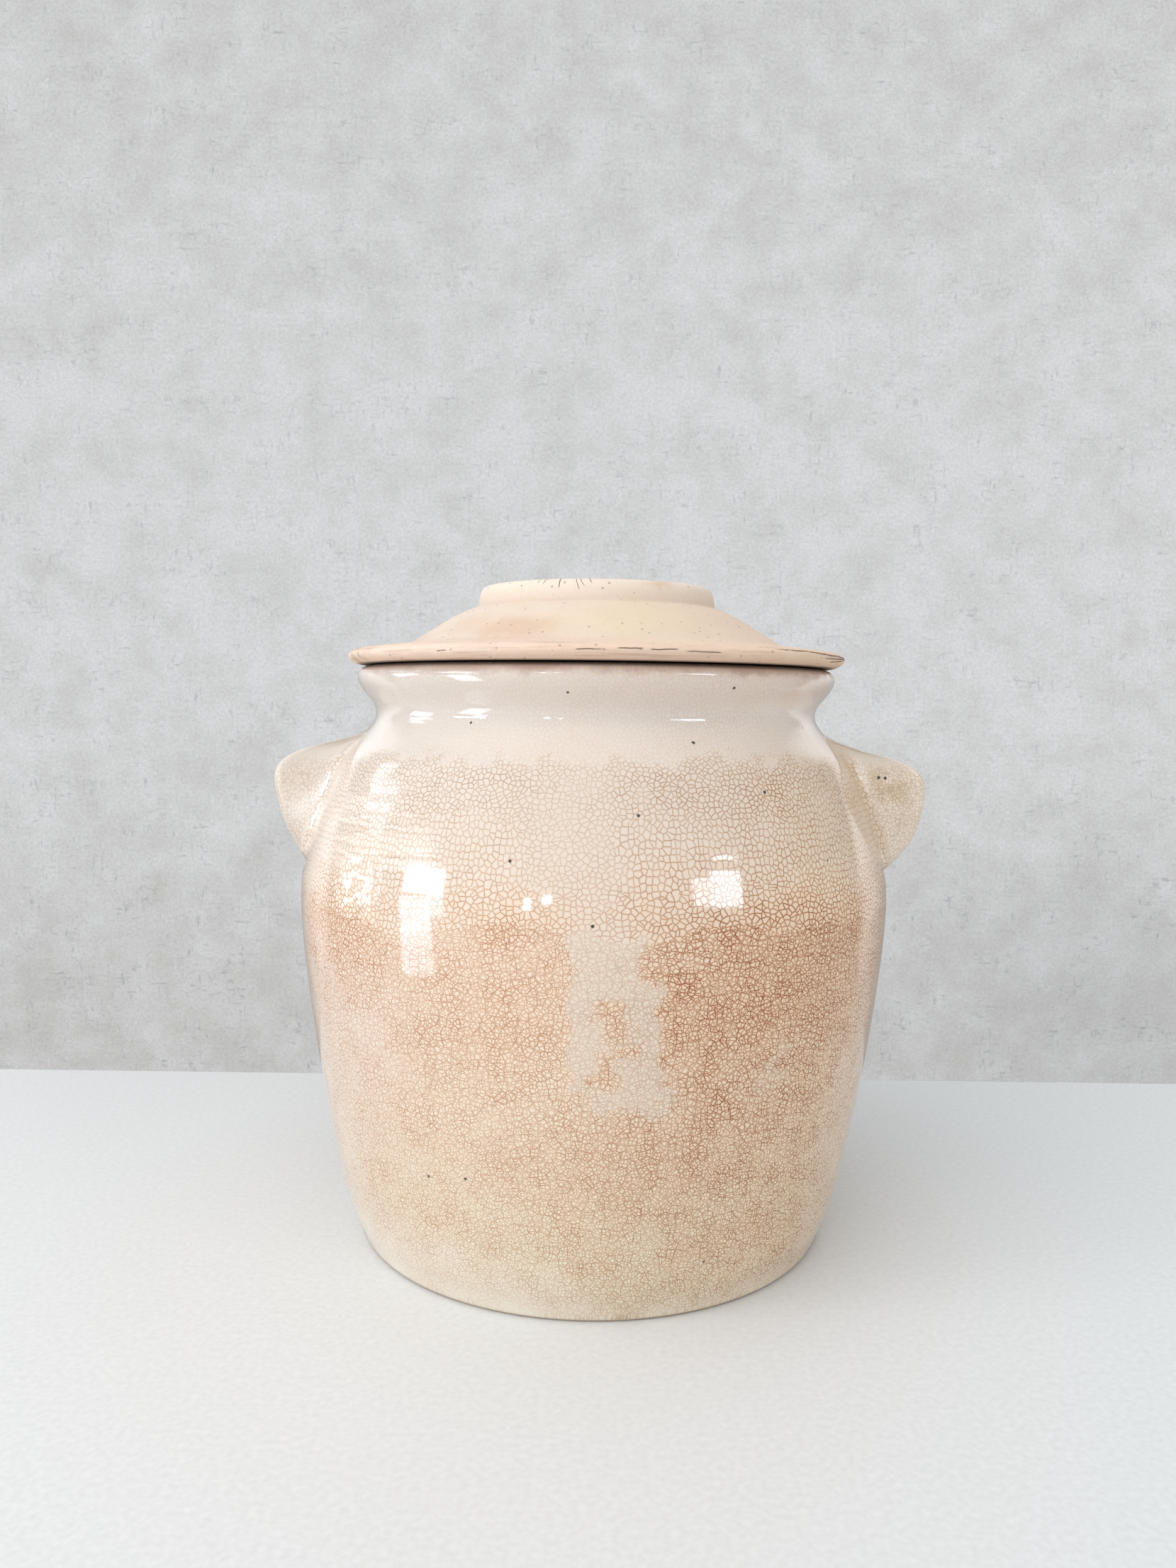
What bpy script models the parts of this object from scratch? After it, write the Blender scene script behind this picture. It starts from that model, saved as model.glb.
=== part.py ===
"""Glazed cream crock with two luted ears and a loose bisque lid.

The origin is the middle of the foot, on the surface the crock stands on.
+Z is up, the ears lie along X and the front of the crock faces -Y.
All sizes are in metres.
"""
import math

import bpy
from mathutils import Vector
from mathutils.geometry import interpolate_bezier

# Crock, outside
BASE_RADIUS = 0.0955
BELLY_RADIUS = 0.1200
BELLY_HEIGHT = 0.1385
SHOULDER_RADIUS = 0.1043
SHOULDER_RISE = 0.0545
NECK_RADIUS = 0.0901
NECK_RISE = 0.0188
LIP_FLARE = 0.0074
COLLAR_RISE = 0.0147
CROWN_RISE = 0.0038

# Crock, wall and foot
WALL = 0.0085
LIP_WIDTH = 0.0110
FLOOR_THICKNESS = 0.0110
FLOOR_ROUND = 0.0160
FOOT_EDGE = 0.0012
FOOT_RING_WIDTH = 0.0130
FOOT_RECESS = 0.0025

# Lean of the wall at the foot and at the shoulder, in run per rise
FOOT_LEAN = 0.58
SHOULDER_LEAN = -0.50

# How hard the wall's curves pull at their ends, as shares of the rise of each stretch
FOOT_PULL = 0.17
BELLY_PULL_BELOW = 0.19
BELLY_PULL_ABOVE = 0.25
SHOULDER_PULL = 0.30
NECK_PULL = 0.37
COLLAR_PULL = 0.36
LIP_PULL = 0.50
INNER_WALL_PULL = 0.30
INNER_BELLY_PULL = 0.20
INNER_NECK_PULL = 0.40
FLOOR_PULL = 0.60
FLOOR_WALL_PULL = 0.50

# Ears, measured from the wall at the height of their tips
EAR_BELOW_SHOULDER = 0.0095
EAR_REACH_LEFT = 0.0257
EAR_REACH_RIGHT = 0.0299
EAR_TOP_RISE_LEFT = 0.0198
EAR_TOP_RISE_RIGHT = 0.0182
EAR_TOP_FALL = 0.0082
EAR_DROP = 0.0430
EAR_HEEL_LEFT = 0.0008
EAR_HEEL_RIGHT = 0.0032
EAR_WIDTH_ROOT = 0.0720
EAR_WIDTH_TIP = 0.0620
EAR_WIDTH_BOTTOM = 0.0500
EAR_ROUND = 0.0070
EAR_BURY = 0.0200

# Lid
LID_OVERHANG = 0.0039
LID_PLAY = 0.0022
FLANGE_WIDTH = 0.0244
FLANGE_EDGE = 0.0063
FLANGE_SLOPE = 0.13
FLANGE_NOSE = 0.0062
NOSE_HEIGHT = 0.0040
DOME_RISE = 0.0159
DOME_LEAN_TOP = -0.40
DOME_LEAN_FOOT = -0.62
DOME_PULL = 0.33
LID_WALL = 0.0085
NOSE_ARC_DEGREES = 75.0
NOSE_FLAT = 0.0016
TENON_DEPTH = 0.0090
TENON_WIDTH = 0.0075
TENON_ROUND = 0.0025
VAULT_FOOT_RUN = 0.0120
VAULT_FOOT_RISE = 0.0100
VAULT_TOP_RUN = 0.0350

# Ring knob on the lid
KNOB_RADIUS = 0.0493
KNOB_HEIGHT = 0.0080
KNOB_TAPER = 0.0013
KNOB_WIDTH = 0.0085
KNOB_ROUND = 0.0034
KNOB_FILLET = 0.0017
KNOB_WELL = 0.0080

# Fit
SEAT_GAP = 0.0003

# Facets round the axis and along the curves of the sections
TURN_STEPS = 60
LONG_STEPS = 8
MIDDLE_STEPS = 6
NECK_STEPS = 5
SHORT_STEPS = 4
CORNER_STEPS = 3
EAR_SMOOTHING = 2

# Heights and radii that follow from the sizes above
SHOULDER_HEIGHT = BELLY_HEIGHT + SHOULDER_RISE
NECK_HEIGHT = SHOULDER_HEIGHT + NECK_RISE
LIP_HEIGHT = NECK_HEIGHT + COLLAR_RISE
CROCK_HEIGHT = LIP_HEIGHT + CROWN_RISE
LIP_RADIUS = NECK_RADIUS + LIP_FLARE
MOUTH_RADIUS = min(NECK_RADIUS - WALL, LIP_RADIUS - LIP_WIDTH)
LID_RADIUS = LIP_RADIUS + LID_OVERHANG
DOME_RADIUS = LID_RADIUS - FLANGE_WIDTH
TENON_RADIUS = MOUTH_RADIUS - LID_PLAY

# Colours and how matt each surface is
BUFF_GLAZE = (0.78, 0.66, 0.53, 1.0)
PALE_GLAZE = (0.80, 0.71, 0.60, 1.0)
BISQUE = (0.82, 0.62, 0.46, 1.0)
BODY_ROUGHNESS = 0.12
EAR_ROUGHNESS = 0.15
BISQUE_ROUGHNESS = 0.85


def clear_scene():
    """Take every object out of the scene."""
    for old in list(bpy.data.objects):
        bpy.data.objects.remove(old, do_unlink=True)


def new_collection(name):
    """Make a collection in the scene."""
    made = bpy.data.collections.new(name)
    bpy.context.scene.collection.children.link(made)
    return made


def new_material(name, colour, roughness, metallic=0.0):
    """Make a plain Principled material."""
    made = bpy.data.materials.new(name)
    made.use_nodes = True
    shader = made.node_tree.nodes["Principled BSDF"]
    shader.inputs["Base Color"].default_value = colour
    shader.inputs["Roughness"].default_value = roughness
    shader.inputs["Metallic"].default_value = metallic
    made.diffuse_color = colour
    return made


# Outlines are lists of (radius, height) pairs
def bend(start, start_way, end, end_way, points):
    """Join two outline points by one curve that leaves and arrives along the given ways.

    The ways are not unit vectors: their lengths are the pull at each end.
    """
    knots = [
        Vector((start[0], start[1], 0.0)),
        Vector((start[0] + start_way[0], start[1] + start_way[1], 0.0)),
        Vector((end[0] - end_way[0], end[1] - end_way[1], 0.0)),
        Vector((end[0], end[1], 0.0)),
    ]
    curve = interpolate_bezier(*knots, points + 1)
    return [(point.x, point.y) for point in curve]


def way(lean, length):
    """Give an upward way of the given length that leans outwards by lean per rise."""
    size = math.hypot(lean, 1.0)
    return (lean / size * length, length / size)


def arc(centre, across, up, from_degrees, to_degrees, points):
    """Give the points of an elliptic arc, with 0 degrees outwards and 90 upwards."""
    made = []
    for index in range(points + 1):
        angle = math.radians(from_degrees + (to_degrees - from_degrees) * index / points)
        made.append((centre[0] + across * math.cos(angle), centre[1] + up * math.sin(angle)))
    return made


def join(*stretches):
    """Chain outline stretches and drop the points that two of them share."""
    whole = []
    for stretch in stretches:
        for point in stretch:
            if not whole or math.dist(whole[-1], point) > 1e-6:
                whole.append(point)
    return whole


def offset(outline, distance):
    """Move an outline that runs upwards sideways, outwards for a positive distance."""
    made = []
    for index, point in enumerate(outline):
        before = outline[max(index - 1, 0)]
        after = outline[min(index + 1, len(outline) - 1)]
        run = after[0] - before[0]
        rise = after[1] - before[1]
        size = math.hypot(run, rise)
        made.append((point[0] + rise / size * distance, point[1] - run / size * distance))
    return made


def radius_at(outline, height):
    """Read the radius of an outline that runs upwards at a height."""
    for low, high in zip(outline, outline[1:]):
        if low[1] <= height <= high[1]:
            share = (height - low[1]) / (high[1] - low[1])
            return low[0] + (high[0] - low[0]) * share
    return outline[-1][0]


def turned(name, outline, material, collection, height=0.0):
    """Turn an outline, which runs down its outer side, into a round solid on the Z axis."""
    mesh = bpy.data.meshes.new(name)
    verts = [(radius, 0.0, level) for radius, level in outline]
    edges = [(index, index + 1) for index in range(len(verts) - 1)]
    mesh.from_pydata(verts, edges, [])
    made = bpy.data.objects.new(name, mesh)
    made.location = (0.0, 0.0, height)
    made.data.materials.append(material)
    collection.objects.link(made)
    screw = made.modifiers.new("Turn", "SCREW")
    screw.axis = "Z"
    screw.angle = math.tau
    screw.steps = TURN_STEPS
    screw.render_steps = TURN_STEPS
    screw.use_merge_vertices = True
    screw.merge_threshold = 0.00001
    screw.use_smooth_shade = True
    return made


# Crock
def crock_wall():
    """Give the outer wall from just above the foot to the widest part of the lip."""
    foot = (BASE_RADIUS, FOOT_EDGE)
    belly = (BELLY_RADIUS, BELLY_HEIGHT)
    shoulder = (SHOULDER_RADIUS, SHOULDER_HEIGHT)
    neck = (NECK_RADIUS, NECK_HEIGHT)
    lip = (LIP_RADIUS, LIP_HEIGHT)
    rise = BELLY_HEIGHT - FOOT_EDGE
    lower = bend(
        foot,
        way(FOOT_LEAN, rise * FOOT_PULL),
        belly,
        (0.0, rise * BELLY_PULL_BELOW),
        LONG_STEPS,
    )
    upper = bend(
        belly,
        (0.0, SHOULDER_RISE * BELLY_PULL_ABOVE),
        shoulder,
        way(SHOULDER_LEAN, SHOULDER_RISE * SHOULDER_PULL),
        MIDDLE_STEPS,
    )
    turn = bend(
        shoulder,
        way(SHOULDER_LEAN, NECK_RISE * NECK_PULL),
        neck,
        (0.0, NECK_RISE * NECK_PULL),
        NECK_STEPS,
    )
    collar = bend(
        neck,
        (0.0, COLLAR_RISE * COLLAR_PULL),
        lip,
        (0.0, COLLAR_RISE * LIP_PULL),
        SHORT_STEPS,
    )
    return join(lower, upper, turn, collar)


def crock_inside(wall):
    """Give the inner wall from the edge of the floor to the inner side of the lip."""
    floor_edge = FLOOR_THICKNESS + FLOOR_ROUND
    edge_radius = radius_at(wall, floor_edge)
    low = (edge_radius - WALL, floor_edge)
    low_lean = (radius_at(wall, floor_edge + FLOOR_ROUND) - edge_radius) / FLOOR_ROUND
    belly = (BELLY_RADIUS - WALL, BELLY_HEIGHT)
    lean_size = math.hypot(SHOULDER_LEAN, 1.0)
    shoulder = (
        SHOULDER_RADIUS - WALL / lean_size,
        SHOULDER_HEIGHT + WALL * SHOULDER_LEAN / lean_size,
    )
    neck = (MOUTH_RADIUS, NECK_HEIGHT)
    lip = (LIP_RADIUS - LIP_WIDTH, LIP_HEIGHT)
    floor_start = (low[0] - FLOOR_ROUND, FLOOR_THICKNESS)
    corner = bend(
        floor_start,
        (FLOOR_ROUND * FLOOR_PULL, 0.0),
        low,
        way(low_lean, FLOOR_ROUND * FLOOR_WALL_PULL),
        SHORT_STEPS,
    )
    lower_pull = (BELLY_HEIGHT - floor_edge) * INNER_WALL_PULL
    lower = bend(low, way(low_lean, lower_pull), belly, (0.0, lower_pull), SHORT_STEPS)
    upper_rise = shoulder[1] - BELLY_HEIGHT
    upper = bend(
        belly,
        (0.0, upper_rise * INNER_BELLY_PULL),
        shoulder,
        way(SHOULDER_LEAN, upper_rise * INNER_WALL_PULL),
        SHORT_STEPS,
    )
    turn_pull = (NECK_HEIGHT - shoulder[1]) * INNER_NECK_PULL
    turn = bend(shoulder, way(SHOULDER_LEAN, turn_pull), neck, (0.0, turn_pull), SHORT_STEPS)
    collar_way = (0.0, COLLAR_RISE * INNER_NECK_PULL)
    collar = bend(neck, collar_way, lip, collar_way, CORNER_STEPS)
    return join([(0.0, FLOOR_THICKNESS)], corner, lower, upper, turn, collar)


def crock_outline(wall):
    """Give the whole section of the crock, from the middle of its floor to its underside."""
    crown_middle = (LIP_RADIUS - LIP_WIDTH / 2.0, LIP_HEIGHT)
    crown = arc(crown_middle, LIP_WIDTH / 2.0, CROWN_RISE, 180.0, 0.0, LONG_STEPS)
    edge_middle = (BASE_RADIUS - FOOT_EDGE, FOOT_EDGE)
    foot_edge = arc(edge_middle, FOOT_EDGE, FOOT_EDGE, 0.0, -90.0, CORNER_STEPS)
    ring_inside = BASE_RADIUS - FOOT_EDGE - FOOT_RING_WIDTH
    recess = [
        (ring_inside, 0.0),
        (ring_inside - FOOT_RECESS, FOOT_RECESS),
        (0.0, FOOT_RECESS),
    ]
    return join(crock_inside(wall), crown, wall[::-1], foot_edge, recess)


# Ears
def make_core(wall, collection, material):
    """Make the solid that the ears are cut back to, one seat gap proud of the wall."""
    seat = offset(wall, SEAT_GAP)
    outline = join([(0.0, seat[-1][1])], seat[::-1], [(0.0, seat[0][1])])
    core = turned("wall_cutter", outline, material, collection)
    core.hide_render = True
    core.display_type = "WIRE"
    return core


def make_ear(name, side, reach, rise, heel, wall, core, material, collection):
    """Make one solid wedge-shaped ear that ends in the crock's wall.

    Its block is a tapered box: a nearly level top, an outer face that slants down and in
    to the wall, and two flat cheeks that draw together outwards and downwards.
    """
    tip_height = SHOULDER_HEIGHT - EAR_BELOW_SHOULDER
    tip_wall = radius_at(wall, tip_height)
    root_out = radius_at(wall, tip_height - EAR_DROP) + heel - tip_wall
    bpy.ops.mesh.primitive_cube_add(size=2.0)
    made = bpy.context.object
    made.name = name
    made.data.name = name
    for old in list(made.users_collection):
        old.objects.unlink(made)
    collection.objects.link(made)
    for vert in made.data.vertices:
        outer = vert.co.x > 0.0
        front = 1.0 if vert.co.y > 0.0 else -1.0
        if vert.co.z > 0.0:
            width = EAR_WIDTH_TIP if outer else EAR_WIDTH_ROOT
            across = reach if outer else -EAR_BURY
            level = rise - (EAR_TOP_FALL if outer else 0.0)
        else:
            width = EAR_WIDTH_BOTTOM
            across = root_out if outer else -EAR_BURY
            level = -EAR_DROP
        vert.co = (across, front * width / 2.0, level)
    made.location = (side * tip_wall, 0.0, tip_height)
    made.rotation_euler = (0.0, 0.0, 0.0 if side > 0.0 else math.pi)
    made.data.materials.append(material)
    edges = made.modifiers.new("Soften", "BEVEL")
    edges.width = EAR_ROUND
    edges.segments = 1
    edges.limit_method = "NONE"
    skin = made.modifiers.new("Smooth", "SUBSURF")
    skin.levels = EAR_SMOOTHING
    skin.render_levels = EAR_SMOOTHING
    cut = made.modifiers.new("Seat", "BOOLEAN")
    cut.operation = "DIFFERENCE"
    cut.solver = "EXACT"
    cut.object = core
    made.data.shade_smooth()
    return made


# Lid
def lid_outline():
    """Give the section of the lid, with heights from the underside of its flange."""
    flange_top = (LID_RADIUS - FLANGE_NOSE, FLANGE_EDGE)
    dome_foot = (DOME_RADIUS, FLANGE_EDGE + (FLANGE_WIDTH - FLANGE_NOSE) * FLANGE_SLOPE)
    dome_top = (KNOB_RADIUS, dome_foot[1] + DOME_RISE)
    knob_top = dome_top[1] + KNOB_HEIGHT
    knob_out = KNOB_RADIUS - KNOB_TAPER
    knob_in = knob_out - KNOB_WIDTH
    well = knob_top - KNOB_WELL
    round_height = knob_top - KNOB_ROUND
    inner_middle = (knob_in + KNOB_ROUND, round_height)
    inner_edge = arc(inner_middle, KNOB_ROUND, KNOB_ROUND, 180.0, 90.0, CORNER_STEPS)
    outer_middle = (knob_out - KNOB_ROUND, round_height)
    outer_edge = arc(outer_middle, KNOB_ROUND, KNOB_ROUND, 90.0, 0.0, CORNER_STEPS)
    well_edge = [(0.0, well), (knob_in - KNOB_ROUND, well), (knob_in, well + KNOB_FILLET)]
    pull = math.hypot(dome_foot[0] - dome_top[0], DOME_RISE) * DOME_PULL
    dome = bend(
        dome_top,
        (pull, DOME_LEAN_TOP * pull),
        dome_foot,
        (pull, DOME_LEAN_FOOT * pull),
        MIDDLE_STEPS,
    )
    nose_middle = (LID_RADIUS - FLANGE_NOSE, NOSE_HEIGHT)
    nose_over = arc(nose_middle, FLANGE_NOSE, FLANGE_EDGE - NOSE_HEIGHT, 90.0, 0.0, SHORT_STEPS)
    nose_under = arc(nose_middle, FLANGE_NOSE, NOSE_HEIGHT, 0.0, -NOSE_ARC_DEGREES, SHORT_STEPS)
    under = [(nose_under[-1][0] - NOSE_FLAT, 0.0), (TENON_RADIUS, 0.0)]
    tenon = arc(
        (TENON_RADIUS - TENON_WIDTH / 2.0, TENON_ROUND - TENON_DEPTH),
        TENON_WIDTH / 2.0,
        TENON_ROUND,
        0.0,
        -180.0,
        MIDDLE_STEPS,
    )
    vault = bend(
        (TENON_RADIUS - TENON_WIDTH, 0.0),
        (-VAULT_FOOT_RUN, VAULT_FOOT_RISE),
        (0.0, well - LID_WALL),
        (-VAULT_TOP_RUN, 0.0),
        LONG_STEPS,
    )
    knob = join(well_edge, inner_edge, outer_edge)
    return join(knob, dome, [flange_top], nose_over, nose_under, under, tenon, vault)


def build():
    """Make the crock, its two ears and its lid."""
    clear_scene()
    parts = new_collection("cream_crock")
    cutters = new_collection("cutters")
    body_glaze = new_material("body_glaze", BUFF_GLAZE, BODY_ROUGHNESS)
    ear_glaze = new_material("ear_glaze", PALE_GLAZE, EAR_ROUGHNESS)
    lid_bisque = new_material("lid_bisque", BISQUE, BISQUE_ROUGHNESS)
    wall = crock_wall()
    crock = turned("pot_body", crock_outline(wall), body_glaze, parts)
    core = make_core(wall, cutters, body_glaze)
    left = ("ear_left", -1.0, EAR_REACH_LEFT, EAR_TOP_RISE_LEFT, EAR_HEEL_LEFT)
    right = ("ear_right", 1.0, EAR_REACH_RIGHT, EAR_TOP_RISE_RIGHT, EAR_HEEL_RIGHT)
    for sizes in (left, right):
        ear = make_ear(*sizes, wall, core, ear_glaze, parts)
        ear.parent = crock
    turned("lid", lid_outline(), lid_bisque, parts, CROCK_HEIGHT + SEAT_GAP)


build()
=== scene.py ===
import math
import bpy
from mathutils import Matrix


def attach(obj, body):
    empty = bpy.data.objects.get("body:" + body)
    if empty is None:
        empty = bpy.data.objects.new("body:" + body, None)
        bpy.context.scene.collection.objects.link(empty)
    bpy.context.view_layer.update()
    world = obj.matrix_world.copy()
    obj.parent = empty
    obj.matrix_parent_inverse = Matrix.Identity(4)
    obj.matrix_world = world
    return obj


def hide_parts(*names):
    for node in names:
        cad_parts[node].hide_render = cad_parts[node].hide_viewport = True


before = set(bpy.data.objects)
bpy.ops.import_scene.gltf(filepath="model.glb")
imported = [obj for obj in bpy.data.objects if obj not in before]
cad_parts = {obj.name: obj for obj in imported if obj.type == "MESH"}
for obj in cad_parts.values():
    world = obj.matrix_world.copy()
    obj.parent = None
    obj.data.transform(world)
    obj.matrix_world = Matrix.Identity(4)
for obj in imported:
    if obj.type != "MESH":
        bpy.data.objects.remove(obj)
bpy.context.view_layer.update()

from types import SimpleNamespace

import bpy
import numpy as np
from mathutils import Matrix, Quaternion, Vector

MM = 0.001
# Steps round the axis, and how often the cage is split when it is rounded
TURNS = 64
SMOOTHING = 2

# The wall outside, from the foot up to the widest part of the lip
WALL_OUTSIDE = [
    (96.1, 2.6), (97.6, 6.4), (99.9, 11.8), (102.2, 19.0), (104.3, 27.5), (106.4, 36.8),
    (108.4, 46.6), (110.3, 57.0), (112.1, 67.6), (113.8, 78.3), (115.3, 88.9), (116.7, 99.2),
    (117.8, 108.9), (118.8, 118.0), (119.5, 126.9), (119.9, 136.5), (119.4, 146.2),
    (117.6, 155.4), (114.9, 165.4), (111.6, 175.4), (108.0, 184.8), (104.3, 193.0),
    (99.9, 198.4), (95.4, 202.8), (92.2, 206.5), (90.4, 209.6), (90.2, 212.8), (91.5, 215.8),
    (93.9, 218.8), (96.2, 221.9), (97.4, 224.9), (97.3, 227.3),
]
CROWN = [(95.9, 229.1), (94.0, 230.0), (92.0, 230.25), (90.0, 230.0), (88.2, 229.1), (86.9, 227.2)]
WALL_INSIDE = [
    (86.2, 224.2), (84.6, 220.2), (82.6, 216.0), (81.7, 211.8), (83.0, 206.4), (87.0, 200.6),
    (92.6, 194.9), (96.9, 188.6), (101.6, 177.5), (106.2, 164.0), (109.8, 150.5), (111.4, 136.0),
    (110.6, 118.0), (108.4, 97.0), (105.6, 79.0), (102.6, 61.5), (99.0, 43.5), (95.8, 28.0),
    (93.6, 20.8), (90.2, 15.4), (85.0, 12.1), (78.0, 11.0), (62.0, 11.0), (40.0, 11.0),
    (18.0, 11.0), (0.0, 11.0),
]
FOOT = [
    (0.0, 2.5), (30.0, 2.5), (60.0, 2.5), (76.6, 2.5), (79.2, 2.2), (80.9, 0.9), (82.3, 0.1),
    (85.0, 0.0), (89.0, 0.0), (92.8, 0.0), (94.9, 0.5),
]

# The lid, from the middle of its top out to the nose of the flange and back underneath
LID_TOP = [
    (0.0, 255.2), (14.0, 255.2), (28.0, 255.2), (35.0, 255.2), (37.8, 255.7), (39.1, 257.0),
    (39.5, 259.2), (39.8, 261.2), (40.8, 262.6), (42.4, 263.1), (44.4, 263.1), (46.2, 262.8),
    (47.4, 261.8), (48.0, 260.2), (48.4, 258.2), (48.7, 256.3), (49.3, 254.9), (51.2, 254.1),
    (55.0, 252.6), (60.0, 250.0), (65.0, 246.9), (69.5, 244.0), (73.6, 241.4), (76.4, 239.8),
    (78.6, 239.1), (82.0, 238.6), (87.0, 238.0), (92.0, 237.4), (96.0, 236.9), (98.6, 236.4),
    (100.4, 235.6), (101.2, 234.5), (101.0, 233.3), (100.0, 232.2), (98.2, 231.2), (96.4, 230.75),
]
LID_UNDER = [
    (94.0, 230.62), (90.0, 230.62), (84.0, 230.62), (80.6, 230.5), (79.5, 229.4), (79.4, 226.5),
    (79.3, 223.8), (78.4, 222.1), (76.6, 221.62), (74.6, 221.62), (72.8, 222.2), (72.0, 223.8),
    (71.9, 227.0), (71.2, 230.4), (68.6, 233.2), (64.4, 235.6), (58.5, 238.2), (49.6, 241.1),
    (39.2, 243.5), (27.5, 245.2), (14.0, 246.3), (0.0, 246.65),
]

# Lug rows from the heel up over the tip to the shelf: reach, height, half width and how
# much of the wall's own curve is pressed out of the row
LEFT_LUG = [
    (120.6, 149.4, 17.0, 0.0),
    (124.2, 157.6, 21.5, 0.4),
    (126.8, 167.0, 25.0, 0.8),
    (128.9, 177.0, 27.2, 1.0),
    (129.8, 185.2, 28.4, 1.0),
    (128.8, 191.0, 28.8, 1.0),
    (120.6, 196.4, 29.2, 1.0),
    (110.2, 198.9, 30.2, 0.9),
    (101.0, 201.2, 32.4, 0.6),
]
RIGHT_LUG = [
    (121.4, 148.4, 17.0, 0.0),
    (128.8, 156.8, 21.5, 0.4),
    (132.2, 167.0, 25.0, 0.8),
    (133.3, 176.6, 27.2, 1.0),
    (133.5, 183.6, 28.4, 1.0),
    (131.9, 189.8, 28.8, 1.0),
    (123.6, 194.6, 29.2, 1.0),
    (111.4, 196.8, 30.2, 0.9),
    (101.0, 200.6, 32.4, 0.6),
]
# The patch of wall that a lug grows from: half its width in steps round the axis, its lowest
# and highest level, and the seam that is left around it
LUG_HALF_TURNS = 3.5
LUG_BOTTOM = 146.2
LUG_TOP = 206.2
LUG_SEAM = 3.6
# The least radius of its faces, how far in they may lie, and the gap that parts two rows
NECK_RADIUS = 92.0
WALL_DEPTH = 4.0
ROW_GAP = 0.8
# The level at which the way up along the wall is counted as equal to the height
CLIMB_LEVEL = 110.0
# Extrusions of a lug: share of the way out, share of the narrowing, and how bowed a row stays
LUG_STEPS = (
    (0.06, 0.30, 1.0), (0.26, 0.62, 0.95), (0.60, 0.84, 0.85), (0.90, 0.95, 0.75), (1.0, 1.0, 0.7),
)

# The craze is laid out flat at one radius, and areas on the wall are placed at another.
# The gap, in radians, keeps the sheet of the back half clear of the front one.
SHEET_RADIUS = 0.108
WALL_RADIUS = 0.117
SHEET_GAP = 9.0

# Sizes of the craze's cells: plates between the long cracks, then what fills them
PLATE_CELLS = 0.0026
BELLY_CELLS = 0.0014
FOOT_CELLS = 0.0012
SHOULDER_CELLS = 0.0019
ROW_CELLS = 0.0020
HAIR_CELLS = 0.0008
LUG_CELLS = 0.0014
STAIN_CELLS = 0.0017
# How far apart the plates' own cells are taken, and the height where the shoulder's begin
PLATE_SHIFT = 0.7
SHOULDER_START = 0.141

# Half widths of the cracks, and how far the glaze beside one is coloured
CRACK_HALF = 0.000094
HAIR_HALF = 0.00006
LUG_CRACK_HALF = 0.00009
BESIDE_CRACK = 0.0008

# Areas on the wall: degrees from the front, height, half width, half height, softness, share
STAINS = [
    (32.0, 0.130, 0.036, 0.020, 0.6, 1.0),
    (64.0, 0.149, 0.020, 0.012, 0.6, 0.6),
    (-10.0, 0.148, 0.010, 0.008, 0.6, 0.5),
    (54.0, 0.129, 0.034, 0.022, 0.7, 0.75),
    (-14.0, 0.124, 0.026, 0.026, 0.6, 0.85),
    (-25.0, 0.104, 0.026, 0.022, 0.7, 0.55),
    (-52.0, 0.136, 0.030, 0.014, 0.6, 0.95),
    (33.0, 0.100, 0.050, 0.022, 0.8, 0.42),
    (8.0, 0.066, 0.060, 0.024, 0.8, 0.28),
    (24.0, 0.022, 0.040, 0.012, 0.8, 0.35),
    (-30.0, 0.036, 0.045, 0.014, 0.8, 0.18),
]
BARE_BLOCKS = [
    (4.2, 0.1095, 0.0175, 0.0180, 0.10, 1.0),
    (1.6, 0.132, 0.0100, 0.0090, 0.15, 1.0),
    (6.0, 0.0890, 0.0130, 0.0060, 0.2, 1.0),
]
BARE_OVALS = [(33.0, 0.0905, 0.0075, 0.0075, 0.5, 0.6)]
DRIPS = [(-2.0, 0.174, 0.019, 0.030, 0.6, 1.0), (0.0, 0.152, 0.012, 0.012, 0.7, 0.8)]
WARM_ISLANDS = [
    (3.5, 0.1125, 0.0070, 0.0045, 0.5, 1.0),
    (6.0, 0.1035, 0.0065, 0.0032, 0.5, 1.0),
    (2.2, 0.0975, 0.0040, 0.0045, 0.5, 1.0),
]

# The glaze between its cracks, from the foot up to a height
GLAZE_TOP = 0.235
GLAZE_COLOURS = [
    (0.000, (0.90, 0.84, 0.71)),
    (0.060, (0.92, 0.89, 0.76)),
    (0.160, (0.93, 0.87, 0.72)),
    (0.290, (0.95, 0.84, 0.70)),
    (0.430, (0.96, 0.83, 0.70)),
    (0.560, (0.95, 0.81, 0.69)),
    (0.690, (0.90, 0.77, 0.66)),
    (0.800, (0.84, 0.74, 0.655)),
    (0.880, (0.84, 0.765, 0.70)),
    (0.930, (0.83, 0.735, 0.67)),
    (0.975, (0.79, 0.66, 0.57)),
]

# Pinholes in the glaze: place and radius in mm
PINHOLES = [
    (33.7, -88.9, 203.0, 0.84), (58.2, -90.0, 186.3, 0.84), (14.5, -108.9, 179.6, 0.72),
    (-27.2, -111.7, 164.5, 0.72), (-0.1, -119.5, 144.8, 0.72), (82.0, -81.5, 161.9, 0.60),
    (-9.4, -94.3, 219.7, 0.60), (48.0, -83.5, 221.9, 0.72), (-42.6, -100.9, 53.5, 0.72),
    (-56.2, -93.5, 51.2, 0.72), (39.7, -94.8, 22.6, 0.72), (-43.7, -79.6, 209.0, 0.60),
    (111.8, -30.0, 188.1, 0.84), (114.4, -29.7, 187.9, 0.84),
]

# Radii of the lid at which marks on its parts are placed
FLANGE_RADIUS = 0.101
DOME_RADIUS = 0.070
KNOB_RADIUS = 0.048
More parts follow.
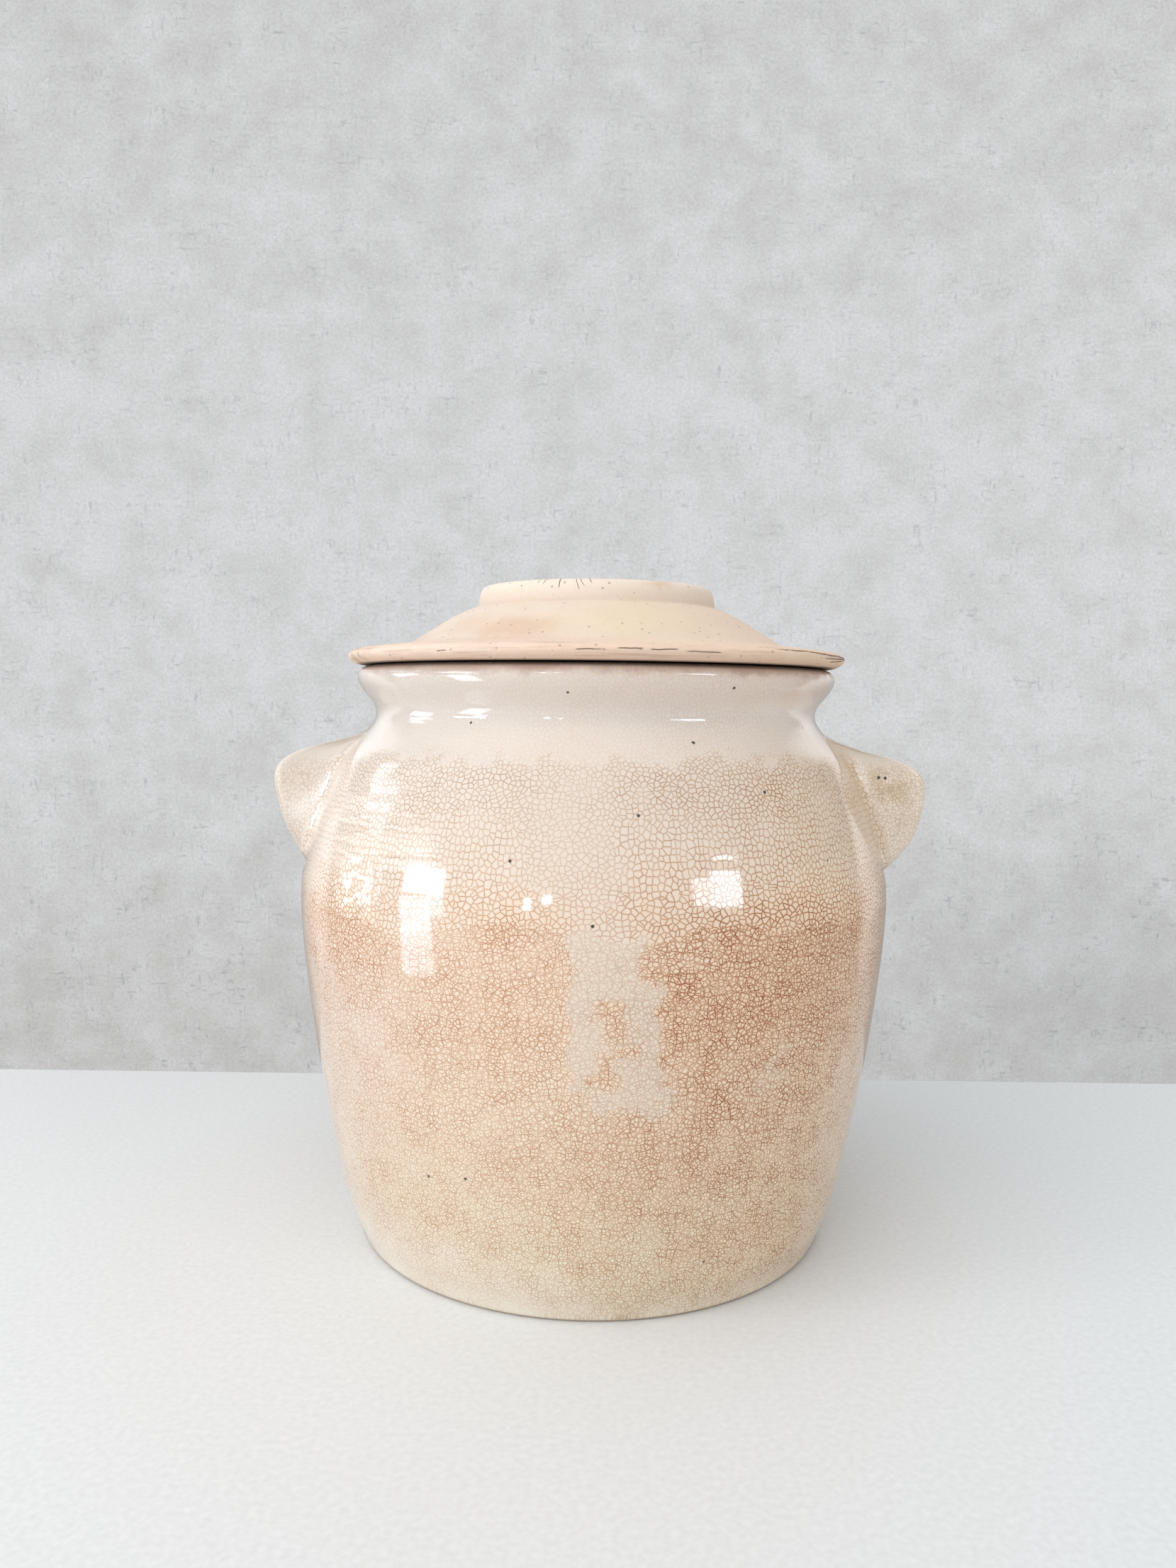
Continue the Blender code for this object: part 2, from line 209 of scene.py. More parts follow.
# Smudges on the lid: degrees, height, half width, half height, softness, radius, share
SMUDGES = [
    (-24.0, 0.2435, 0.017, 0.0042, 0.7, DOME_RADIUS, 1.0),
    (-45.0, 0.2450, 0.012, 0.004, 0.8, DOME_RADIUS, 0.5),
    (31.0, 0.2620, 0.006, 0.002, 0.8, 0.046, 0.7),
    (5.0, 0.2345, 0.032, 0.0022, 0.8, 0.100, 0.45),
]
# Cracks along the flange: from and to in degrees, height, slope and half width in mm
LID_CRACKS = [
    (38.0, 84.0, 235.0, -0.022, 0.34), (56.0, 80.0, 233.9, 0.010, 0.24),
    (60.0, 72.0, 232.9, 0.04, 0.20), (-4.0, 2.0, 234.3, 0.02, 0.20),
    (4.0, 9.0, 234.6, -0.03, 0.24), (8.0, 16.0, 234.2, 0.03, 0.22),
    (17.0, 25.0, 233.8, 0.0, 0.18), (-33.0, -29.0, 234.0, 0.05, 0.20),
    (150.0, 168.0, 234.3, 0.03, 0.25), (-140.0, -126.0, 233.7, -0.03, 0.25),
]
# Cracks down from the top edge of the knob: degrees, lower and upper height, lean, half width
KNOB_CRACKS = [
    (-27.0, 261.0, 263.2, 0.5, 0.15), (-24.0, 260.6, 263.2, 0.5, 0.15),
    (-17.0, 259.0, 263.2, 0.05, 0.20), (-10.0, 258.4, 263.2, -0.45, 0.16),
    (-8.0, 259.6, 263.2, -0.7, 0.17), (-3.5, 260.8, 263.2, -0.6, 0.20),
]

# How far the wall stands behind the axis, and the height that the lamps face
WALL_BACK = 0.176
LAMP_AIM = 0.14

# Bright panes that the glaze mirrors: degrees round and up, distance, width, height,
# brightness and roll
PANE_TINT = (0.82, 0.95, 1.10)
PANES = [
    ("left_pane", -64.1, 13.0, 1.6, 0.480, 0.165, 15.0, 7.5),
    ("left_pane_half", -55.9, 5.7, 1.0, 0.134, 0.184, 4.5, 8.0),
    ("left_pane_low", -55.7, 1.1, 0.34, 0.070, 0.082, 5.5, 8.0),
    ("left_pane_tail", -55.2, -10.8, 0.34, 0.070, 0.066, 4.2, 1.0),
    ("right_pane", 48.7, 13.8, 1.6, 0.323, 0.277, 7.6, -9.0),
    ("right_pane_dim", 39.4, 14.5, 1.6, 0.184, 0.221, 5.5, -3.0),
    ("right_slat", 51.1, 21.5, 1.6, 0.285, 0.018, 9.0, -9.0),
    ("small_left", -23.4, 12.1, 1.6, 0.070, 0.166, 20.0, -0.5),
    ("small_right", -16.5, 14.4, 1.6, 0.085, 0.073, 20.0, 6.0),
    ("back_pane", -98.0, 19.9, 0.8, 0.308, 0.066, 2.9, 21.5),
    ("back_pane_mid", -96.6, 14.4, 1.2, 0.316, 0.161, 2.0, 22.5),
    ("back_pane_high", -97.6, 28.6, 0.46, 0.077, 0.113, 1.9, 23.0),
    ("back_pane_low", -92.8, 4.0, 0.8, 0.224, 0.184, 6.0, 16.0),
]


# Modelling by hand
def start_edit(piece):
    """Open one piece for modelling with nothing in it selected."""
    bpy.ops.object.select_all(action="DESELECT")
    bpy.context.view_layer.objects.active = piece
    piece.select_set(True)
    bpy.ops.object.mode_set(mode="EDIT")
    bpy.ops.mesh.select_all(action="DESELECT")


def end_edit():
    """Close the piece that is open."""
    bpy.ops.object.mode_set(mode="OBJECT")


def select(piece, kind, wanted):
    """Select the vertices or faces of an open piece that a test on their place accepts."""
    bpy.ops.mesh.select_mode(type="VERT" if kind == "vertices" else "FACE")
    bpy.ops.mesh.select_all(action="DESELECT")
    bpy.ops.object.mode_set(mode="OBJECT")
    parts = piece.data.vertices if kind == "vertices" else piece.data.polygons
    for part in parts:
        part.select = wanted(part.co if kind == "vertices" else part.center)
    bpy.ops.object.mode_set(mode="EDIT")


def through(section):
    """Give the cage points whose smoothed line passes through a section's points."""
    points = np.array(section, float)
    count = len(points)
    pull = np.zeros((count, count))
    for row in range(count):
        pull[row, row] = 4.0
        pull[row, max(row - 1, 0)] += 1.0
        pull[row, min(row + 1, count - 1)] += 1.0
    pull[0] = 0.0
    pull[0, 0] = 6.0
    pull[-1] = 0.0
    pull[-1, -1] = 6.0
    cage = np.linalg.solve(pull, points * 6.0)
    cage[:, 1] = np.clip(cage[:, 1], points[:, 1].min(), points[:, 1].max())
    grow = 3.0 / (2.0 + math.cos(math.tau / TURNS))
    return [(radius * grow, height) for radius, height in cage]


def turned_piece(name, section):
    """Draw a section point by point beside the axis and spin it into a round piece."""
    bpy.ops.object.select_all(action="DESELECT")
    bpy.ops.mesh.primitive_plane_add(size=0.01, location=(0.0, 0.0, 0.0))
    piece = bpy.context.object
    piece.name = name
    piece.data.name = name
    half_turn = math.pi / TURNS
    across = (math.cos(half_turn), math.sin(half_turn))
    points = [(radius * MM * across[0], radius * MM * across[1], height * MM) for radius, height in section]
    bpy.ops.object.mode_set(mode="EDIT")
    bpy.ops.mesh.select_all(action="SELECT")
    bpy.ops.mesh.merge(type="CENTER")
    bpy.ops.transform.translate(value=points[0])
    for near, far in zip(points, points[1:]):
        step = tuple(b - a for a, b in zip(near, far))
        bpy.ops.mesh.extrude_region_move(TRANSFORM_OT_translate={"value": step})
    bpy.ops.mesh.select_all(action="SELECT")
    bpy.ops.mesh.spin(steps=TURNS, angle=math.tau, center=(0.0, 0.0, 0.0), axis=(0.0, 0.0, 1.0))
    bpy.ops.mesh.select_all(action="SELECT")
    bpy.ops.mesh.remove_doubles(threshold=0.00002)
    bpy.ops.mesh.normals_make_consistent(inside=False)
    end_edit()
    return piece


def smoothed(piece):
    """Round a piece by subdivision and shade it smooth."""
    bpy.ops.object.select_all(action="DESELECT")
    bpy.context.view_layer.objects.active = piece
    piece.select_set(True)
    skin = piece.modifiers.new("Round", "SUBSURF")
    skin.levels = SMOOTHING
    skin.render_levels = SMOOTHING
    bpy.ops.object.modifier_apply(modifier=skin.name)
    bpy.ops.object.shade_smooth()
    return piece


def keep_values(piece, name, values):
    """Store one number for each vertex under a name that a material can read."""
    stored = piece.data.attributes.new(name, "FLOAT", "POINT")
    stored.data.foreach_set("value", np.asarray(values, np.float32))


# Crock
def raise_lug(piece, side, lug_rows):
    """Pull one wedge-shaped lug out of the shoulder of an open crock."""
    half_angle = LUG_HALF_TURNS * math.tau / TURNS + 0.01

    def on_patch(centre):
        angle = abs(math.atan2(centre.y, side * centre.x))
        radius = math.hypot(centre.x, centre.y)
        within = np.interp(centre.z / MM, heights, radii) - radius / MM
        outside = radius > NECK_RADIUS * MM and within < WALL_DEPTH
        return outside and angle < half_angle and LUG_BOTTOM * MM < centre.z < LUG_TOP * MM

    heights = [height for radius, height in WALL_OUTSIDE]
    radii = [radius for radius, height in WALL_OUTSIDE]
    select(piece, "faces", on_patch)
    bpy.ops.mesh.inset(thickness=LUG_SEAM * MM, depth=0.0, use_even_offset=True)
    bpy.ops.object.mode_set(mode="OBJECT")
    patch = [vert.index for vert in piece.data.vertices if vert.select]
    levels = sorted({round(piece.data.vertices[index].co.z, 5) for index in patch})
    rows = []
    for level in levels:
        if not rows or level - rows[-1][-1] > ROW_GAP * MM:
            rows.append([level])
        else:
            rows[-1].append(level)
    roots = []
    for row in rows:
        places = [
            piece.data.vertices[index].co.copy()
            for index in patch
            if row[0] - 1e-5 <= piece.data.vertices[index].co.z <= row[-1] + 1e-5
        ]
        reach = max(place.x * side for place in places)
        half = max(place.y for place in places)
        roots.append((reach, sum(place.z for place in places) / len(places), half))
    bpy.ops.object.mode_set(mode="EDIT")
    for share, narrowed, bow in LUG_STEPS:
        bpy.ops.mesh.extrude_region_move(TRANSFORM_OT_translate={"value": (side * 0.5, 0.0, 0.0)})
        bpy.ops.object.mode_set(mode="OBJECT")
        lifted = [vert.index for vert in piece.data.vertices if vert.select]
        bpy.ops.object.mode_set(mode="EDIT")
        lifted_rows = sort_rows(piece, lifted, len(roots))
        for row, root, (reach, height, half, flat) in zip(lifted_rows, roots, lug_rows):
            goal = root[0] + (reach * MM - root[0]) * share
            level = root[1] + (height * MM - root[1]) * share
            width = root[2] + (half * MM - root[2]) * narrowed
            shape_row(piece, row, side, goal, level, width, 1.0 - (1.0 - bow) * flat)
        select_indices(piece, lifted)


def sort_rows(piece, indices, count):
    """Split the vertices of a lifted patch into level rows, from the lowest up."""
    bpy.ops.object.mode_set(mode="OBJECT")
    ordered = sorted(indices, key=lambda index: piece.data.vertices[index].co.z)
    size = len(ordered) // count
    bpy.ops.object.mode_set(mode="EDIT")
    return [ordered[start * size:(start + 1) * size] for start in range(count)]


def select_indices(piece, indices):
    """Select exactly these vertices of an open piece."""
    bpy.ops.mesh.select_mode(type="VERT")
    bpy.ops.mesh.select_all(action="DESELECT")
    bpy.ops.object.mode_set(mode="OBJECT")
    for index in indices:
        piece.data.vertices[index].select = True
    bpy.ops.object.mode_set(mode="EDIT")


def shape_row(piece, row, side, reach, level, half, bow):
    """Bring one row of vertices to a reach, a height and a half width."""
    select_indices(piece, row)
    bpy.ops.object.mode_set(mode="OBJECT")
    places = [piece.data.vertices[index].co.copy() for index in row]
    bpy.ops.object.mode_set(mode="EDIT")
    furthest = max(place.x * side for place in places)
    widest = max(place.y for place in places)
    if bow < 0.999:
        middle = (reach - bow * furthest) / (1.0 - bow)
        bpy.ops.transform.resize(
            value=(bow, half / widest, 0.0),
            center_override=(side * middle, 0.0, level),
        )
    else:
        bpy.ops.transform.resize(value=(1.0, half / widest, 0.0), center_override=(0.0, 0.0, level))
        bpy.ops.transform.translate(value=(side * (reach - furthest), 0.0, 0.0))


def make_crock():
    """Model the glazed crock with its two lugs in one skin."""
    piece = turned_piece("glazed_crock", through(FOOT + WALL_OUTSIDE + CROWN + WALL_INSIDE))
    start_edit(piece)
    raise_lug(piece, -1.0, LEFT_LUG)
    raise_lug(piece, 1.0, RIGHT_LUG)
    end_edit()
    smoothed(piece)

    # For the glaze: the way up along the wall, how far a point is on a lug or inside the wall
    co = np.array([vert.co for vert in piece.data.vertices]) / MM
    radius = np.hypot(co[:, 0], co[:, 1])
    wall_z = np.array([height for _, height in WALL_OUTSIDE])
    wall_r = np.array([reach for reach, _ in WALL_OUTSIDE])
    climbed = np.concatenate([[0.0], np.cumsum(np.hypot(np.diff(wall_r), np.diff(wall_z)))])
    proud = radius - np.interp(co[:, 2], wall_z, wall_r)
    on_lug = (co[:, 2] > LUG_BOTTOM - 4.0) & (co[:, 2] < LUG_TOP + 2.0)
    rise = np.clip((proud - 0.3) / 7.0, 0.0, 1.0) * on_lug
    climbed += CLIMB_LEVEL - np.interp(CLIMB_LEVEL, wall_z, climbed)
    keep_values(piece, "climb", np.interp(co[:, 2], wall_z, climbed) * MM)
    keep_values(piece, "lug", rise * rise * (3.0 - 2.0 * rise))
    keep_values(piece, "inside", np.clip((-2.0 - proud) / 3.0, 0.0, 1.0))
    return piece


# Lid
def make_lid():
    """Model the loose lid: dome, ring knob, flange and locating ring."""
    return smoothed(turned_piece("bisque_lid", through(LID_TOP + LID_UNDER)))


# Materials
class Wire:
    """A socket of a node tree that takes part in sums as a number does."""

    def __init__(self, tree, socket=None):
        self.tree = tree
        self.socket = socket

    def node(self, kind, settings=None, sockets=None, out=0):
        """Add a node, set its settings, fill its sockets and give one of its outputs."""
        made = self.tree.nodes.new(kind)
        for name, value in (settings or {}).items():
            if name == "stops":
                fill_ramp(made.color_ramp, value)
            else:
                setattr(made, name, value)
        for name, value in (sockets or {}).items():
            if isinstance(value, Wire):
                self.tree.links.new(value.socket, made.inputs[name])
            else:
                made.inputs[name].default_value = value
        return Wire(self.tree, made.outputs[out])

    def other(self, out):
        """Give another output of the same node."""
        return Wire(self.tree, self.socket.node.outputs[out])

    def math(self, operation, *values):
        """Add a Math node on these values."""
        return self.node("ShaderNodeMath", {"operation": operation}, dict(enumerate(values)))

    def __add__(self, other):
        return self.math("ADD", self, other)

    def __radd__(self, other):
        return self.math("ADD", other, self)

    def __sub__(self, other):
        return self.math("SUBTRACT", self, other)

    def __rsub__(self, other):
        return self.math("SUBTRACT", other, self)

    def __mul__(self, other):
        return self.math("MULTIPLY", self, other)

    def __rmul__(self, other):
        return self.math("MULTIPLY", other, self)

    def __truediv__(self, other):
        return self.math("DIVIDE", self, other)

    def __neg__(self):
        return self.math("MULTIPLY", self, -1.0)

    def __abs__(self):
        return self.math("ABSOLUTE", self)


def fill_ramp(ramp, stops):
    """Set the stops of a colour ramp, given as (position, colour)."""
    while len(ramp.elements) > 1:
        ramp.elements.remove(ramp.elements[-1])
    ramp.elements[0].position = stops[0][0]
    ramp.elements[0].color = stops[0][1]
    for position, colour in stops[1:]:
        ramp.elements.new(position).color = colour


def colour(red, green, blue):
    """Give a linear colour with full alpha."""
    return (red, green, blue, 1.0)


def new_paint(name):
    """Make a material and give its first wire and its shader."""
    made = bpy.data.materials.new(name)
    made.use_nodes = True
    return made, Wire(made.node_tree), made.node_tree.nodes["Principled BSDF"]


def fade(value, start, end):
    """Give 0 up to start and 1 past end, also where end is the lower of the two."""
    sockets = {"Value": value, "From Min": start, "From Max": end}
    return value.node("ShaderNodeMapRange", {"interpolation_type": "SMOOTHSTEP"}, sockets)


def blend(share, first, second, way="MIX"):
    """Mix two colours."""
    settings = {"data_type": "RGBA", "blend_type": way}
    paint = share if isinstance(share, Wire) else first
    return paint.node("ShaderNodeMix", settings, {0: share, 6: first, 7: second}, out=2)


def clouds(where, size, detail=2.0, roughness=0.5):
    """Give soft noise from 0 to 1 whose patches are about as large as size."""
    sockets = {"Vector": where, "Scale": 1.0 / size, "Detail": detail, "Roughness": roughness}
    return where.node("ShaderNodeTexNoise", None, sockets)


def highest(first, second):
    """Give the larger of two values."""
    return first.math("MAXIMUM", first, second)


def held(value):
    """Keep a value between 0 and 1."""
    return value.node("ShaderNodeClamp", None, {0: value})


def arc_place(turn, degrees, radius):
    """Give the distance round the wall from a direction, at a radius."""
    return (turn - math.radians(degrees)) * radius


def patch(turn, height, degrees, level, half_width, half_height, soften, radius=WALL_RADIUS):
    """Give 1 inside an oval on the wall and 0 outside, with a soft edge."""
    across = arc_place(turn, degrees, radius) / half_width
    up = (height - level) / half_height
    squared = across * across + up * up
    return fade(squared.math("SQRT", squared), 1.0 + soften, 1.0 - soften)


def block(turn, height, degrees, level, half_width, half_height, soften):
    """Give 1 inside a four-sided area on the wall and 0 outside, with a soft edge."""
    across = arc_place(turn, degrees, WALL_RADIUS) / half_width
    up = (height - level) / half_height
    return fade(highest(abs(across), abs(up)), 1.0 + soften, 1.0 - soften)


def dot(place, centre, radius):
    """Give 1 at a small spot on the surface."""
    away = place.node("ShaderNodeVectorMath", {"operation": "DISTANCE"}, {0: place, 1: centre}, out="Value")
    return fade(away, radius, radius * 0.5)


def cells(vector, scale, feature, out, dimensions="2D", randomness=1.0):
    """Give one output of a cell texture."""
    settings = {"feature": feature, "voronoi_dimensions": dimensions}
    sockets = {"Vector": vector, "Scale": scale, "Randomness": randomness}
    return vector.node("ShaderNodeTexVoronoi", settings, sockets, out=out)


def net(vector, size, dimensions="2D", randomness=1.0):
    """Give the distance to the nearest crack of a net with cells of a size."""
    return cells(vector, 1.0 / size, "DISTANCE_TO_EDGE", "Distance", dimensions, randomness) * size


def crack(distance, half):
    """Give a crack's darkness: full on its line, fading through a soft edge."""
    return fade(distance, half * 2.6, half * 0.3)


def shifted(vector, shift, reach):
    """Move flat places by the red and green of a colour, as far as a reach."""
    sockets = {0: shift, 1: (reach, reach, 0.0), 2: vector}
    return vector.node("ShaderNodeVectorMath", {"operation": "MULTIPLY_ADD"}, sockets)


def either(first, second, test, limit):
    """Give the first value, or the second where a test value is above a limit."""
    return first + (second - first) * test.math("GREATER_THAN", test, limit)


def strongest(shape, turn, height, listed):
    """Give the strongest of several areas of one shape, each with its own share."""
    most = None
    for *where, share in listed:
        area = shape(turn, height, *where) * share
        most = area if most is None else highest(most, area)
    return most


# Glaze of the crock
def glaze_places(paint):
    """Gather the wires that say where on the crock a point lies."""
    at = SimpleNamespace()
    at.place = paint.node("ShaderNodeTexCoord", out="Object")
    at.x = at.place.node("ShaderNodeSeparateXYZ", None, {0: at.place}, out="X")
    at.y = at.x.other("Y")
    at.z = at.x.other("Z")
    at.climb = paint.node("ShaderNodeAttribute", {"attribute_name": "climb"}, out="Fac")
    at.lug = paint.node("ShaderNodeAttribute", {"attribute_name": "lug"}, out="Fac")
    at.inside = paint.node("ShaderNodeAttribute", {"attribute_name": "inside"}, out="Fac")
    at.turn = at.x.math("ARCTAN2", at.x, -at.y)
    at.broad = clouds(at.place, 0.045, 3.0)
    at.middling = clouds(at.place, 0.016, 3.0)
    at.small = clouds(at.place, 0.006, 2.0)
    at.rightward = fade(at.x, -0.05, 0.085)
    at.leftward = fade(at.x, 0.03, -0.11)
    at.elsewhere = highest(fade(at.lug, 0.20, 0.40), at.inside)

    # A height that wanders, the rows on the shoulder and the ragged end of the craze above them
    at.up_wander = at.z + (at.broad - 0.5) * 0.030 + (at.middling - 0.5) * 0.012
    from_drip = abs(at.turn + 0.05) + (at.middling - 0.5) * 0.3
    in_rows = fade(at.up_wander, 0.152, 0.159) * fade(at.up_wander, 0.184, 0.176)
    at.in_rows = in_rows * fade(from_drip, 0.08, 0.2)
    at.limit = at.z + (at.middling - 0.5) * 0.014 + (at.small - 0.5) * 0.016

    # The craze lies flat on the wall: one sheet for the front half and one for the back
    halfway = at.y + (at.middling - 0.5) * 0.03
    back = halfway.math("GREATER_THAN", halfway, 0.0)
    turn_back = at.x.math("ARCTAN2", -at.x, at.y)
    at.around = at.turn + (turn_back + SHEET_GAP - at.turn) * back
    flat = paint.node("ShaderNodeCombineXYZ", None, {0: at.around * SHEET_RADIUS, 1: at.climb, 2: 0.0})
    sockets = {"Vector": at.place, "Scale": 130.0, "Detail": 2.0}
    drift = paint.node("ShaderNodeTexNoise", None, sockets, out="Color")
    at.sheet = shifted(flat, drift, 0.0018)
    return at


def draw_craze(paint, at):
    """Draw the craze: how dark its lines are, and how near a point lies to one."""
    # Long cracks split the glaze into plates, and shorter ones end on them
    plates = cells(at.sheet, 1.0 / PLATE_CELLS, "F1", "Color")
    parted = shifted(at.sheet, plates, PLATE_SHIFT)
    near_foot = fade(at.up_wander, 0.088, 0.056) + (at.middling - 0.5) * 0.8
    short_net = either(net(parted, BELLY_CELLS), net(parted, FOOT_CELLS), near_foot, 0.5)
    long_net = net(at.sheet, PLATE_CELLS)
    cut_net = short_net.math("MINIMUM", long_net, short_net + 0.00003)
    cut_net = either(cut_net, net(at.sheet, SHOULDER_CELLS), at.up_wander, SHOULDER_START)
    tall = paint.node("ShaderNodeMapping", None, {"Vector": at.sheet, "Scale": (1.05, 0.84, 1.0)})
    wall_net = either(cut_net, net(tall, ROW_CELLS, randomness=0.74), at.in_rows, 0.5)
    wall_away = wall_net / (0.72 + at.middling * 0.56)
    wall_line = crack(wall_away, CRACK_HALF) * (0.76 + fade(at.small, 0.35, 0.65) * 0.34)
    wall_line = highest(wall_line, crack(net(at.sheet, HAIR_CELLS), HAIR_HALF) * 0.12)
    lug_line = crack(net(at.place, LUG_CELLS, "3D"), LUG_CRACK_HALF) * 0.58
    at.line = wall_line * (1.0 - at.elsewhere) + lug_line * at.elsewhere
    at.beside = fade(wall_away, BESIDE_CRACK, 0.0) * (1.0 - at.elsewhere)


def find_areas(at):
    """Find where the craze has taken up colour, and where the glaze stayed bare of it."""
    centre = cells(at.sheet, 1.0 / STAIN_CELLS, "F1", "Position")
    centre_x = centre.node("ShaderNodeSeparateXYZ", None, {0: centre}, out="X")
    tint = centre.other("Color")
    at.tint = tint.node("ShaderNodeSeparateColor", None, {0: tint}, out="Red")
    turn = centre_x / SHEET_RADIUS + (at.middling - 0.5) * 0.30 + (at.small - 0.5) * 0.10
    ragged = (clouds(at.place, 0.013, 4.0) - 0.5) * 0.030
    height = centre_x.other("Y") + ragged + (at.small - 0.5) * 0.010

    ring = fade(at.up_wander, 0.083, 0.112) * fade(at.up_wander, 0.166, 0.142)
    stain = ring * (0.22 + fade(at.y, -0.02, 0.05) * 0.40) * fade(at.broad, 0.35, 0.62)
    for *where, share in STAINS:
        stain = stain + patch(turn, height, *where) * share
    islands = strongest(block, turn, height, WARM_ISLANDS)
    bare = highest(strongest(block, turn, height, BARE_BLOCKS), strongest(patch, turn, height, BARE_OVALS))
    at.bare = held(bare - islands * 0.9)
    at.drip = strongest(patch, turn, height, DRIPS)
    at.dark_left = patch(turn, height, -52.0, 0.132, 0.030, 0.020, 0.6)
    at.pale_left = patch(at.turn, at.z, -52.0, 0.100, 0.052, 0.026, 0.7)
    stain = held(highest(stain, islands * 0.8) * (1.0 - at.bare * 0.95) * (0.70 + at.middling * 0.6))
    at.stain = stain * (1.0 - at.elsewhere) * (1.0 - at.pale_left * 0.7)


def colour_glaze(paint, at):
    """Mix the colour of the glaze between its cracks."""
    x, z, lug = at.x, at.z, at.lug
    stops = [(share, colour(*cream)) for share, cream in GLAZE_COLOURS]
    body = paint.node("ShaderNodeValToRGB", {"stops": stops}, {0: z / GLAZE_TOP})

    # Cooler at the left, warmer at the right, and painted shade under the right of the collar
    body = blend(at.leftward * 0.45, body, colour(0.87, 0.82, 0.76))
    body = blend(fade(x, 0.02, 0.11) * fade(z, 0.205, 0.185) * 0.70, body, colour(0.97, 0.83, 0.66))
    # Painted shade: the right shoulder under the collar is darkened to a shaded brown
    right_shoulder_painted_shade = fade(x, 0.03, 0.11) * fade(z, 0.150, 0.170) * fade(z, 0.210, 0.190)
    body = blend(right_shoulder_painted_shade * 0.65, body, colour(0.76, 0.61, 0.46))
    body = blend(fade(x, 0.02, 0.08) * fade(z, 0.200, 0.212) * 0.8, body, colour(0.95, 0.86, 0.79))
    body = blend(fade(x, 0.02, 0.08) * fade(z, 0.215, 0.221) * 0.6, body, colour(0.72, 0.57, 0.47))
    body = blend(at.leftward * fade(z, 0.190, 0.205) * 0.55, body, colour(0.74, 0.67, 0.61))
    body = blend(fade(at.broad, 0.42, 0.75) * 0.20, body, colour(0.80, 0.65, 0.50))
    body = blend(at.stain * (0.30 + at.rightward * 0.34), body, colour(0.95, 0.74, 0.55))
    body = blend(at.pale_left * 0.5, body, colour(0.86, 0.73, 0.63))
    body = blend(at.bare * 0.85, body, colour(0.87, 0.765, 0.65))
    body = blend(at.drip * 0.4, body, colour(0.83, 0.72, 0.62))

    # The lugs: pale cheeks, a greyer shelf on top, and a brown patch on the right one
    cheek = blend(fade(x, 0.0, 0.1), colour(0.78, 0.69, 0.60), colour(0.96, 0.86, 0.75))
    body = blend(fade(lug, 0.20, 0.80) * 0.78, body, cheek)
    body = blend(lug * fade(z, 0.188, 0.196) * 0.6, body, colour(0.72, 0.65, 0.56))
    clouded = lug * fade(z, 0.197, 0.187) * fade(clouds(at.place, 0.012, 3.0), 0.35, 0.7)
    body = blend(clouded * 0.30, body, colour(0.74, 0.60, 0.44))
    browned = fade(x, 0.103, 0.109) * fade(x, 0.128, 0.120) * fade(z, 0.174, 0.180) * fade(z, 0.194, 0.188)
    browned = browned * lug * fade(at.small, 0.30, 0.60)
    body = blend(browned * 0.55, body, colour(0.66, 0.50, 0.31))
    return blend(fade(at.tint, 0.0, 1.0) * 0.10, body, colour(0.94, 0.82, 0.70))


def craze_strength(at):
    """Say how dark the craze is: most at the belly and on the right, least at the neck and the foot."""
    strength = 0.60 + at.rightward * 0.22 + at.stain * (at.rightward * 0.26 + 0.08)
    strength = strength + at.dark_left * 0.28
    strength = strength - at.drip * 0.30 - at.bare * 0.29 - at.pale_left * 0.02
    strength = strength - fade(at.x, 0.07, 0.11) * 0.10
    strength = strength - fade(at.z, 0.032, 0.006) * (0.12 + fade(at.x, 0.01, -0.06) * 0.12)
    strength = strength * (0.20 + fade(at.limit, 0.1995, 0.1940) * 0.80) * (1.0 - at.in_rows * 0.12)
    strength = strength * (0.72 + at.middling * 0.5) * fade(at.up_wander, -0.012, 0.012)
    return held(strength * (1.0 - at.lug * fade(at.z, 0.188, 0.197) * 0.85))


def stain_cracks(at, body):
    """Darken the glaze along its cracks: orange-brown at the left and browner at the right."""
    shoulder = fade(at.limit, 0.145, 0.180)
    halo = blend(shoulder, colour(0.96, 0.82, 0.67), colour(0.96, 0.88, 0.79))
    glazed = blend(at.beside * at.strength, body, halo, "MULTIPLY")
    dark = blend(at.rightward, colour(0.47, 0.18, 0.05), colour(0.34, 0.115, 0.02))
    dark = blend(highest(shoulder, at.lug), dark, colour(0.42, 0.20, 0.08))
    return blend(at.line * at.strength, glazed, dark, "MULTIPLY")


def soil_glaze(at, glazed):
    """Add the dirt under the lid, a painted shadow where the lid sits on the crown, the pinholes and the bare
    ring that the crock stands on.
    """
    dirt = fade(at.z + (at.small - 0.5) * 0.005 + (at.middling - 0.5) * 0.003, 0.2252, 0.2285)
    at.crown_dirt = dirt * held(0.45 + fade(clouds(at.place, 0.030, 4.0), 0.35, 0.65) * 0.7)
    glazed = blend(at.crown_dirt * 0.75, glazed, colour(0.46, 0.30, 0.235))
    # Painted shadow: a near-black line on the top of the crown, where the lid rests
    glazed = blend(fade(at.z, 0.2283, 0.2297) * 0.8, glazed, colour(0.10, 0.068, 0.05))
    holes = None
    for across, deep, high, radius in PINHOLES:
        hole = dot(at.place, (across * MM, deep * MM, high * MM), radius * MM)
        holes = hole if holes is None else highest(holes, hole)
    specks = cells(at.sheet, 20.0, "F1", "Distance")
    specks = fade(specks, 0.010, 0.006) * fade(at.y, -0.055, -0.045) * (1.0 - at.elsewhere)
    at.holes = highest(holes, specks)
    glazed = blend(at.holes * 0.97, glazed, colour(0.06, 0.045, 0.035))
    at.foot = fade(at.z, 0.0016, 0.0006)
    return blend(at.foot, glazed, colour(0.60, 0.48, 0.36))


